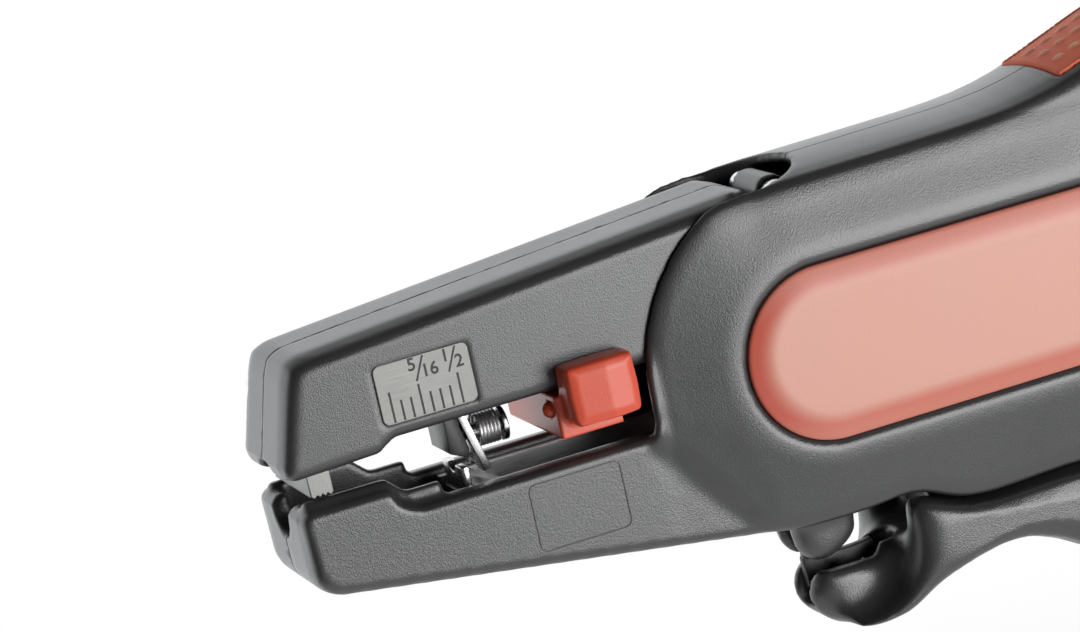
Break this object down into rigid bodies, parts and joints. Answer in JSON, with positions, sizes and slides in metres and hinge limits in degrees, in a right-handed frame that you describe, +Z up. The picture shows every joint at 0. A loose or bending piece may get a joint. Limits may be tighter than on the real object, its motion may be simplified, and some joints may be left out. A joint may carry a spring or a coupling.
{
  "type": "automatic wire stripper",
  "caption": "Hand-held self-adjusting wire stripper with a hinged upper jaw, pull-back blades, a sliding length stop, a side cutter and a squeeze lever under a drooping grip.",
  "frame": {"origin": "mouth of the jaws: the front of the tool, at mid-width and at the level of the gap between the jaws", "axes": "+X from the mouth to the back of the tool, +Y across the tool to its far side, +Z up from the lever to the top of the body"},
  "size_m": [0.186, 0.023, 0.0892],
  "materials": {
    "black_nylon": "fine spark-eroded texture, dark grey",
    "inner_plastic": "smooth black",
    "orange_plastic": "satin orange-red",
    "scale_metal": "brushed, printed in black",
    "hard_steel": "ground",
    "plate_steel": "zinc plated",
    "bright_steel": "bright",
    "spring_steel": "drawn wire",
    "bush_brass": "turned"
  },
  "bodies": {
    "body": {"near_shell": "black_nylon", "far_shell": "black_nylon", "near_inlay": "orange_plastic", "far_inlay": "orange_plastic", "thumb_insert": "orange_plastic", "main_pivot_pin": "bright_steel", "shell_screws": "bright_steel", "lower_clamp_pad": "hard_steel", "fixed_cutter_blade": "hard_steel", "fixed_blade_pin": "bright_steel", "guide_pin": "bright_steel", "spring_anchor_pin": "bright_steel", "return_spring": "spring_steel", "jaw_spring": "spring_steel"},
    "upper_jaw": {"upper_jaw_near": "black_nylon", "upper_jaw_far": "black_nylon", "jaw_screws": "bright_steel", "upper_clamp_pad": "hard_steel", "near_scale_plate": "scale_metal", "far_scale_plate": "scale_metal"},
    "carriage": {"upper_carriage": "inner_plastic", "upper_blade_holder": "inner_plastic", "upper_blade": "hard_steel", "blade_screw": "bright_steel", "blade_spring": "spring_steel"},
    "stop": {"length_stop": "orange_plastic", "stop_detents": "orange_plastic"},
    "draw_bar": {"draw_bar_plates": "plate_steel", "draw_bar_tail": "plate_steel", "draw_bar_rivets": "bright_steel", "spring_tail_pin": "bright_steel", "lower_blade_holder": "inner_plastic", "lower_blade": "hard_steel", "draw_bar_link_pin": "bright_steel"},
    "links": {"toggle_links": "plate_steel"},
    "squeeze_lever": {"lever": "black_nylon", "lever_bush": "bush_brass", "lever_link_pin": "bright_steel", "jaw_closing_pin": "bright_steel", "moving_cutter_blade": "hard_steel", "cutter_blade_rivets": "bright_steel"}
  },
  "joints": [
    {"name": "handle_squeeze", "type": "hinge", "parent": "body", "child": "squeeze_lever", "pos_m": [0.056, 0, 0], "axis": [0, 1, 0], "range_deg": [0, 18]},
    {"name": "jaw_pivot", "type": "hinge", "parent": "body", "child": "upper_jaw", "pos_m": [0.056, 0, 0], "axis": [0, 1, 0], "range_deg": [0, 12.01], "deforming": ["jaw_spring"]},
    {"name": "draw_bar_slide", "type": "slide", "parent": "body", "child": "draw_bar", "axis": [-1, 0, 0], "range_m": [0, 0.01252], "deforming": ["return_spring"]},
    {"name": "link_pivot", "type": "hinge", "parent": "draw_bar", "child": "links", "pos_m": [0.12, 0, -0.004], "axis": [0, -1, 0], "range_deg": [0, 23.85]},
    {"name": "carriage_slide", "type": "slide", "parent": "upper_jaw", "child": "carriage", "axis": [-1, 0, 0], "range_m": [0, 0.01252]},
    {"name": "stop_slide", "type": "slide", "parent": "carriage", "child": "stop", "axis": [-1, 0, 0], "range_m": [-0.0016, 0.003]}
  ],
  "couplings": [
    {"joint": "jaw_pivot", "follows": "handle_squeeze", "ratio": 0.66667},
    {"joint": "draw_bar_slide", "follows": "handle_squeeze", "m_per_rad": 0.039789},
    {"joint": "link_pivot", "follows": "handle_squeeze", "ratio": 1.3211},
    {"joint": "carriage_slide", "follows": "handle_squeeze", "m_per_rad": 0.039789}
  ]
}
